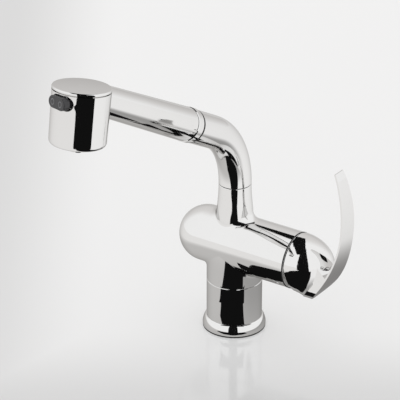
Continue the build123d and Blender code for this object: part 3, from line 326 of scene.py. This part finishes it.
def finishes():
    """Material of each slot of the record."""
    look = bpy.context.scene.tap_finish
    shine = look.chrome_roughness
    chrome = surface("polished_chrome", look.chrome_colour, look.chrome_haze, (shine, shine * 2), 1.0, 30.0)
    shader = chrome.node_tree.nodes["Principled BSDF"]
    shader.inputs["Specular Tint"].default_value = (*look.chrome_edge, 1.0)
    return {
        "chrome": chrome,
        "brass": surface(
            "turned_brass", (0.62, 0.4, 0.13), (0.7, 0.48, 0.19), (0.22, 0.38), 1.0, 120.0, 4000.0, 0.1),
        "steel": surface(
            "bare_steel", (0.5, 0.5, 0.51), (0.58, 0.58, 0.6), (0.22, 0.36), 1.0, 200.0, 4000.0, 0.1),
        # Black rubber of the real seals and nubs, also worn by the black rings of painted shade in the seams.
        "rubber": surface(
            "rubber_and_seam_shade", (0.008, 0.008, 0.008), (0.02, 0.02, 0.02), (0.55, 0.75), 0.0, 200.0, 3000.0, 0.4),
        "white_plastic": surface(
            "white_acetal", (0.78, 0.78, 0.75), (0.84, 0.84, 0.82), (0.4, 0.55), 0.0, 60.0, 3000.0, 0.15),
        "grey_plastic": surface(
            "dark_plastic", look.button_colour, look.button_worn, (0.3, 0.45), 0.0, 300.0, 4000.0, 0.2),
        "ceramic": surface(
            "lapped_ceramic", (0.82, 0.81, 0.78), (0.88, 0.87, 0.85), (0.15, 0.25), 0.0, 150.0),
    }


def deselect():
    """Nothing selected, in object mode."""
    if bpy.context.mode != "OBJECT":
        bpy.ops.object.mode_set(mode="OBJECT")
    bpy.ops.object.select_all(action="DESELECT")


def settle(piece, name, body, material):
    """Apply the piece's place to its mesh, name it, finish it and let it ride on its body."""
    deselect()
    piece.select_set(True)
    bpy.context.view_layer.objects.active = piece
    bpy.ops.object.transform_apply(location=True, rotation=True, scale=True)
    bpy.ops.object.shade_smooth_by_angle(angle=math.radians(40.0))
    piece.name = name
    piece.data.name = name
    piece.data.materials.clear()
    piece.data.materials.append(material)
    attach(piece, body)
    return piece


def frame_matrix(place, right, up):
    """Matrix that puts local X along right, local Y along up and local Z out of them, at a place."""
    out = right.cross(up)
    turn = Matrix((right, up, out)).transposed().to_4x4()
    return Matrix.Translation(place) @ turn


class TAP_OT_finishes(bpy.types.Operator):
    """Give every solid the finish of its slot"""
    bl_idname = "tap.finishes"
    bl_label = "Finishes"

    def execute(self, context):
        made = finishes()
        for name, node in frame["nodes"].items():
            node.data.materials.clear()
            node.data.materials.append(made[SLOT_OF[name]])
        return {"FINISHED"}


class TAP_OT_button_marks(bpy.types.Operator):
    """Print the two rings on the rocker button"""
    bl_idname = "tap.button_marks"
    bl_label = "Button marks"

    def execute(self, context):
        button = context.scene.tap_button
        look = context.scene.tap_finish
        ink = surface("button_print", look.mark_colour, look.mark_colour, (0.4, 0.5), 0.0, 300.0)
        out = DRUM_FRONT * math.cos(button.lean) - ACROSS * math.sin(button.lean)
        right = ACROSS * math.cos(button.lean) + DRUM_FRONT * math.sin(button.lean)
        for name, side in (("spray_mark", -1.0), ("stream_mark", 1.0)):
            deselect()
            place = BUTTON_PIN + out * button.face + right * (side * button.spread)
            bpy.ops.mesh.primitive_torus_add(
                major_radius=button.radius, minor_radius=button.line, major_segments=40, minor_segments=8)
            ring = context.object
            ring.matrix_world = frame_matrix(place, right, DRUM_AXIS) @ Matrix.Diagonal(
                (0.8, 1.0, button.height / button.line, 1.0))
            settle(ring, name, "button", ink)
        return {"FINISHED"}


class TAP_OT_spray_nubs(bpy.types.Operator):
    """Set the ring of soft nubs in the spray plate"""
    bl_idname = "tap.spray_nubs"
    bl_label = "Spray nubs"

    def execute(self, context):
        spray = context.scene.tap_spray
        rubber = bpy.data.materials["rubber_and_seam_shade"]
        low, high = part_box("spray_plate")
        centre = (low + high) / 2
        thick = (high.y - low.y) * abs(DRUM_AXIS.y)
        plate_half = ((high.z - low.z) - thick) / abs(DRUM_AXIS.z) / 2
        foot = centre - DRUM_AXIS * plate_half
        nubs = []
        for step in range(spray.count):
            deselect()
            turn = 2 * math.pi * step / spray.count
            place = foot + (ACROSS * math.cos(turn) - DRUM_FRONT * math.sin(turn)) * spray.pitch
            bpy.ops.mesh.primitive_cylinder_add(vertices=16, radius=spray.radius, depth=spray.drop)
            nub = context.object
            bpy.ops.object.mode_set(mode="EDIT")
            bpy.ops.mesh.select_all(action="SELECT")
            bpy.ops.mesh.bevel(offset=spray.drop / 4, segments=2)
            bpy.ops.mesh.select_all(action="DESELECT")
            bpy.ops.object.mode_set(mode="OBJECT")
            for face in nub.data.polygons:
                face.select = face.normal.z < -0.99
            bpy.ops.object.mode_set(mode="EDIT")
            bpy.ops.mesh.inset(thickness=spray.radius - spray.drop / 4 - spray.bore)
            bpy.ops.mesh.extrude_region_move(TRANSFORM_OT_translate={"value": (0.0, 0.0, spray.drop / 2)})
            bpy.ops.object.mode_set(mode="OBJECT")
            nub.matrix_world = frame_matrix(place - DRUM_AXIS * (spray.drop / 2), ACROSS, -DRUM_FRONT)
            nubs.append(nub)
        deselect()
        for nub in nubs:
            nub.select_set(True)
        context.view_layer.objects.active = nubs[0]
        bpy.ops.object.transform_apply(location=True, rotation=True, scale=True)
        bpy.ops.object.join()
        settle(context.object, "spray_nubs", "handset", rubber)
        return {"FINISHED"}


class TAP_OT_seam_shade_rings(bpy.types.Operator):
    """Lay black rings in the seams of the dock, the swivel and the hub, as painted shade"""
    bl_idname = "tap.seam_seals"
    bl_label = "Seam shade rings"

    def execute(self, context):
        seam_shades = context.scene.tap_seals
        rubber = bpy.data.materials["rubber_and_seam_shade"]
        up = Vector((0.0, 0.0, 1.0))
        start = up * seam_shades.aim_height
        lip_place = start + AIM * seam_shades.lip_at
        mouth_place = start + AIM * seam_shades.mouth_at
        centre = Vector(JOINTS["lever_temperature"]["pos_m"])
        barrel = Vector(JOINTS["lever_temperature"]["axis"])
        hub = centre + barrel * (seam_shades.hub_at - centre.x)
        # Painted shade: each ring is a black band standing where a seam's gap lies in shadow.
        rings = (
            ("ring_lip_shade", "spout", lip_place, AIM, seam_shades.lip_radius, seam_shades.lip_width),
            ("mouth_seam_shade", "spout", mouth_place, AIM, seam_shades.mouth_radius, seam_shades.mouth_width),
            ("swivel_seam_shade", "base", up * seam_shades.swivel_at, up, seam_shades.swivel_radius, seam_shades.swivel_width),
            ("hub_seam_shade", "base", hub, barrel, seam_shades.hub_radius, seam_shades.hub_width),
        )
        for name, body, place, axis, radius, width in rings:
            deselect()
            bpy.ops.mesh.primitive_cylinder_add(
                vertices=96, radius=radius, depth=width, end_fill_type="NOTHING")
            ring = context.object
            wall = ring.modifiers.new("wall", "SOLIDIFY")
            wall.thickness = seam_shades.thick
            wall.offset = -1.0
            edge = ring.modifiers.new("edge", "BEVEL")
            edge.width = seam_shades.edge
            edge.segments = 2
            for step in ("wall", "edge"):
                bpy.ops.object.modifier_apply(modifier=step)
            ring.matrix_world = Matrix.Translation(place) @ axis.to_track_quat("Z", "Y").to_matrix().to_4x4()
            settle(ring, name, body, rubber)
        return {"FINISHED"}


class TAP_OT_stage(bpy.types.Operator):
    """Lay the floor, light the studio and set the camera"""
    bl_idname = "tap.stage"
    bl_label = "Stage"

    def execute(self, context):
        stage = context.scene.tap_stage
        self.lay_floor(context, stage)
        self.light_studio(context, stage)
        self.lay_mirrored_floor(context, stage)
        self.stand_cards(context, stage)
        self.set_camera(context, stage)
        return {"FINISHED"}

    def lay_floor(self, context, stage):
        """Wide pale floor with painted shade to the left and in front, and a painted glow."""
        deselect()
        bpy.ops.mesh.primitive_plane_add(size=12.0, location=(0.0, 0.0, -0.2 * MM))
        floor = context.object
        floor.name = "studio_floor"
        material = bpy.data.materials.new("studio_floor")
        material.use_nodes = True
        nodes = material.node_tree.nodes
        links = material.node_tree.links
        shader = nodes["Principled BSDF"]
        shader.inputs["Roughness"].default_value = 0.09
        shader.inputs["Specular IOR Level"].default_value = 0.7
        place = nodes.new("ShaderNodeTexCoord")
        fades = []
        for way, near, far in FLOOR_SHADE_FADES:
            reach = nodes.new("ShaderNodeVectorMath")
            reach.operation = "DOT_PRODUCT"
            reach.inputs[1].default_value = Matrix.Rotation(stage.azimuth, 3, "Z") @ Vector(way)
            fade = nodes.new("ShaderNodeMapRange")
            fade.interpolation_type = "SMOOTHSTEP"
            fade.inputs["From Min"].default_value = near
            fade.inputs["From Max"].default_value = far
            links.new(place.outputs["Object"], reach.inputs[0])
            links.new(reach.outputs["Value"], fade.inputs["Value"])
            fades.append(fade)
        most = nodes.new("ShaderNodeMath")
        most.operation = "MAXIMUM"
        # Painted shade: the floor is mixed towards its darker edge colour to the left and in front.
        tint = nodes.new("ShaderNodeMix")
        tint.data_type = "RGBA"
        tint.inputs["A"].default_value = (*stage.floor_colour, 1.0)
        tint.inputs["B"].default_value = (*stage.floor_edge_shade, 1.0)
        for slot, fade in enumerate(fades):
            links.new(fade.outputs["Result"], most.inputs[slot])
        links.new(most.outputs["Value"], tint.inputs["Factor"])
        links.new(tint.outputs["Result"], shader.inputs["Base Color"])
        # Painted light: the floor glows with its own tint, painted shade included.
        links.new(tint.outputs["Result"], shader.inputs["Emission Color"])
        shader.inputs["Emission Strength"].default_value = stage.floor_glow
        floor.data.materials.append(material)
        floor.visible_glossy = False

    def light_studio(self, context, stage):
        """Soft light from all round, dimmer behind the tap to the left."""
        world = bpy.data.worlds.new("studio")
        world.use_nodes = True
        context.scene.world = world
        nodes = world.node_tree.nodes
        links = world.node_tree.links
        ways = nodes.new("ShaderNodeTexCoord")
        aside = nodes.new("ShaderNodeVectorMath")
        aside.operation = "DOT_PRODUCT"
        aside.inputs[1].default_value = DIM_WAY
        dim = nodes.new("ShaderNodeMapRange")
        dim.interpolation_type = "SMOOTHSTEP"
        dim.inputs["From Min"].default_value = DIM_EDGE[0]
        dim.inputs["From Max"].default_value = DIM_EDGE[1]
        tint = nodes.new("ShaderNodeMix")
        tint.data_type = "RGBA"
        tint.inputs["A"].default_value = (*stage.sky_high, 1.0)
        tint.inputs["B"].default_value = (*stage.sky_low, 1.0)
        links.new(ways.outputs["Generated"], aside.inputs[0])
        links.new(aside.outputs["Value"], dim.inputs["Value"])
        links.new(dim.outputs["Result"], tint.inputs["Factor"])
        links.new(tint.outputs["Result"], nodes["Background"].inputs["Color"])
        context.scene.view_settings.view_transform = "Standard"

    def lay_mirrored_floor(self, context, stage):
        """Floor as the chrome mirrors it: shaded round the tap, light further off and to the right."""
        material = bpy.data.materials.new("mirrored_floor")
        material.use_nodes = True
        nodes = material.node_tree.nodes
        links = material.node_tree.links
        place = nodes.new("ShaderNodeTexCoord")
        far = nodes.new("ShaderNodeVectorMath")
        far.operation = "LENGTH"
        aside = nodes.new("ShaderNodeVectorMath")
        aside.operation = "DOT_PRODUCT"
        aside.inputs[1].default_value = BRIGHT_SIDE
        fades = []
        for source, ends in ((far, MIRROR_FADE), (aside, MIRROR_SIDE)):
            fade = nodes.new("ShaderNodeMapRange")
            fade.interpolation_type = "SMOOTHSTEP"
            fade.inputs["From Min"].default_value = ends[0]
            fade.inputs["From Max"].default_value = ends[1]
            links.new(place.outputs["Object"], source.inputs[0])
            links.new(source.outputs["Value"], fade.inputs["Value"])
            fades.append(fade)
        tints = []
        for left, right in ((stage.near_left, stage.near_right), (stage.far_left, stage.far_right)):
            tint = nodes.new("ShaderNodeMix")
            tint.data_type = "RGBA"
            tint.inputs["A"].default_value = (*left, 1.0)
            tint.inputs["B"].default_value = (*right, 1.0)
            links.new(fades[1].outputs["Result"], tint.inputs["Factor"])
            tints.append(tint)
        blend = nodes.new("ShaderNodeMix")
        blend.data_type = "RGBA"
        links.new(fades[0].outputs["Result"], blend.inputs["Factor"])
        links.new(tints[0].outputs["Result"], blend.inputs["A"])
        links.new(tints[1].outputs["Result"], blend.inputs["B"])
        glow = nodes.new("ShaderNodeEmission")
        links.new(blend.outputs["Result"], glow.inputs["Color"])
        links.new(glow.outputs["Emission"], nodes["Material Output"].inputs["Surface"])
        deselect()
        bpy.ops.mesh.primitive_plane_add(size=12.0, location=(0.0, 0.0, -2.0 * MM))
        self.only_mirrored(context.object, "mirrored_floor", material)

    def only_mirrored(self, card, name, material):
        """Let a card show in the chrome and nowhere else."""
        card.name = name
        card.data.materials.append(material)
        card.visible_camera = False
        card.visible_diffuse = False
        card.visible_shadow = False
        card.visible_transmission = False

    def stand_cards(self, context, stage):
        """Dark cards that only the chrome mirrors, round the tap and on the floor."""
        black = self.dark_card(stage)
        low = {name: [(*corner, LOW_CARD_Z) for corner in corners] for name, corners in LOW_CARDS.items()}
        for name, corners in {**TALL_CARDS, **low}.items():
            self.stand_card(context, name, corners, black)

    def dark_card(self, stage):
        """Black of the cards, clear where the floor would mirror them."""
        black = bpy.data.materials.new("dark_card")
        black.use_nodes = True
        nodes = black.node_tree.nodes
        links = black.node_tree.links
        glow = nodes.new("ShaderNodeEmission")
        glow.inputs["Color"].default_value = (*stage.card_colour, 1.0)
        clear = nodes.new("ShaderNodeBsdfTransparent")
        hit = nodes.new("ShaderNodeNewGeometry")
        path = nodes.new("ShaderNodeLightPath")
        start = nodes.new("ShaderNodeVectorMath")
        start.operation = "MULTIPLY_ADD"
        height = nodes.new("ShaderNodeSeparateXYZ")
        low = nodes.new("ShaderNodeMath")
        low.operation = "LESS_THAN"
        low.inputs[1].default_value = FLOOR_NEAR
        blend = nodes.new("ShaderNodeMixShader")
        links.new(hit.outputs["Incoming"], start.inputs[0])
        links.new(path.outputs["Ray Length"], start.inputs[1])
        links.new(hit.outputs["Position"], start.inputs[2])
        links.new(start.outputs["Vector"], height.inputs["Vector"])
        links.new(height.outputs["Z"], low.inputs[0])
        links.new(low.outputs["Value"], blend.inputs["Fac"])
        links.new(glow.outputs["Emission"], blend.inputs[1])
        links.new(clear.outputs["BSDF"], blend.inputs[2])
        links.new(blend.outputs["Shader"], nodes["Material Output"].inputs["Surface"])
        return black

    def stand_card(self, context, name, corners, material):
        """One dark card with its corners at the places given."""
        deselect()
        bpy.ops.mesh.primitive_plane_add(size=1.0)
        card = context.object
        for corner, place in zip(card.data.vertices, corners):
            corner.co = place
        self.only_mirrored(card, name, material)

    def set_camera(self, context, stage):
        """Camera at the photograph's angle."""
        data = bpy.data.cameras.new("camera")
        camera = bpy.data.objects.new("camera", data)
        context.scene.collection.objects.link(camera)
        level = math.cos(stage.elevation)
        back = Vector((
            math.sin(stage.azimuth) * level, -math.cos(stage.azimuth) * level, math.sin(stage.elevation)))
        camera.location = Vector(stage.aim) + back * stage.distance
        camera.rotation_euler = back.to_track_quat("Z", "Y").to_euler()
        data.sensor_width = SENSOR_MM
        data.lens = stage.focal_pixels * SENSOR_MM
        data.clip_end = 100.0
        context.scene.camera = camera


class TAP_PT_sidebar(bpy.types.Panel):
    """Lists the steps that dress the tap"""
    bl_label = "Kitchen tap"
    bl_idname = "TAP_PT_sidebar"
    bl_space_type = "VIEW_3D"
    bl_region_type = "UI"
    bl_category = "Tap"

    def draw(self, context):
        for step in STEPS:
            self.layout.operator(step.bl_idname)


STEPS = (TAP_OT_finishes, TAP_OT_button_marks, TAP_OT_spray_nubs, TAP_OT_seam_shade_rings, TAP_OT_stage)
GROUPS = {
    "tap_finish": TapFinish,
    "tap_button": TapButton,
    "tap_spray": TapSpray,
    "tap_seals": TapSeamShades,
    "tap_stage": TapStage,
}


def register():
    """Register the settings, the steps and the panel."""
    for name, group in GROUPS.items():
        bpy.utils.register_class(group)
        setattr(bpy.types.Scene, name, bpy.props.PointerProperty(type=group))
    for step in STEPS:
        bpy.utils.register_class(step)
    bpy.utils.register_class(TAP_PT_sidebar)


def unregister():
    """Take the panel, the steps and the settings out again."""
    bpy.utils.unregister_class(TAP_PT_sidebar)
    for step in reversed(STEPS):
        bpy.utils.unregister_class(step)
    for name, group in GROUPS.items():
        delattr(bpy.types.Scene, name)
        bpy.utils.unregister_class(group)


def main():
    """Register the steps and run every one of them."""
    register()
    bpy.ops.tap.finishes()
    bpy.ops.tap.button_marks()
    bpy.ops.tap.spray_nubs()
    bpy.ops.tap.seam_seals()
    bpy.ops.tap.stage()


if __name__ == "__main__":
    main()
